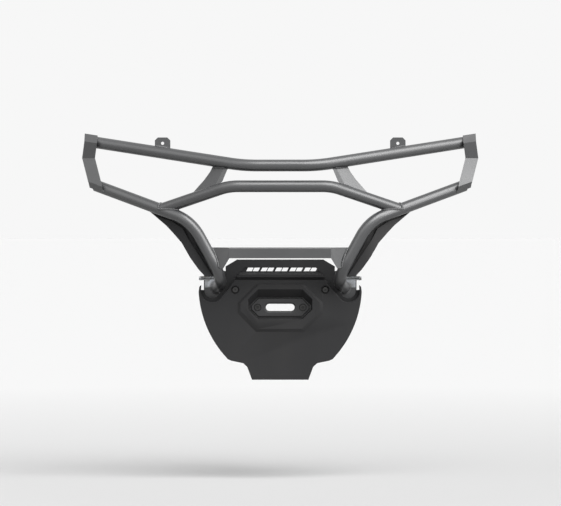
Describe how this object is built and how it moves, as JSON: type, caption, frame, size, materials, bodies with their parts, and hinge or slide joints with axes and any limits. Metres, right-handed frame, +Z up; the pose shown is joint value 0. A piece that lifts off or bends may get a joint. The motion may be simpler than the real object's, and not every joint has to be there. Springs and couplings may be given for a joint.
{
  "type": "quad bike front bumper",
  "caption": "Bent-tube front bumper for a quad bike, with folded end plates, gussets, cross plate, moulded vent and skid panels and a rope fairlead.",
  "frame": {"origin": "centre of the four flange bolt holes, on the rear faces of the two foot flanges", "axes": "+X towards the rider's left, +Y rearwards into the vehicle, +Z up; the bumper faces -Y"},
  "size_m": [1.086, 0.206, 0.6727],
  "materials": {
    "powder_coat": "satin dark grey powder coat on steel",
    "moulded_black": "fine grained black moulding",
    "fairlead_coat": "satin black coat on cast aluminium",
    "black_steel": "black oxide steel",
    "zinc_plate": "bright zinc plate"
  },
  "bodies": {
    "root": {"top_rail": "powder_coat", "middle_hoop": "powder_coat", "left_side_rail": "powder_coat", "right_side_rail": "powder_coat", "left_end_plate": "powder_coat", "right_end_plate": "powder_coat", "left_gusset": "powder_coat", "right_gusset": "powder_coat", "cross_plate": "powder_coat", "left_foot_flange": "powder_coat", "right_foot_flange": "powder_coat", "winch_plate": "powder_coat", "left_rack_tab": "powder_coat", "right_rack_tab": "powder_coat", "rail_end_caps": "powder_coat", "vent_panel": "moulded_black", "vent_mesh": "moulded_black", "skid_panel": "moulded_black", "left_side_shield": "moulded_black", "right_side_shield": "moulded_black", "fairlead": "fairlead_coat", "fairlead_bolts": "black_steel", "fairlead_nuts": "black_steel", "panel_screws": "black_steel", "panel_nuts": "black_steel", "left_tie_bracket": "zinc_plate", "right_tie_bracket": "zinc_plate", "tie_bolts": "zinc_plate"}
  },
  "joints": []
}
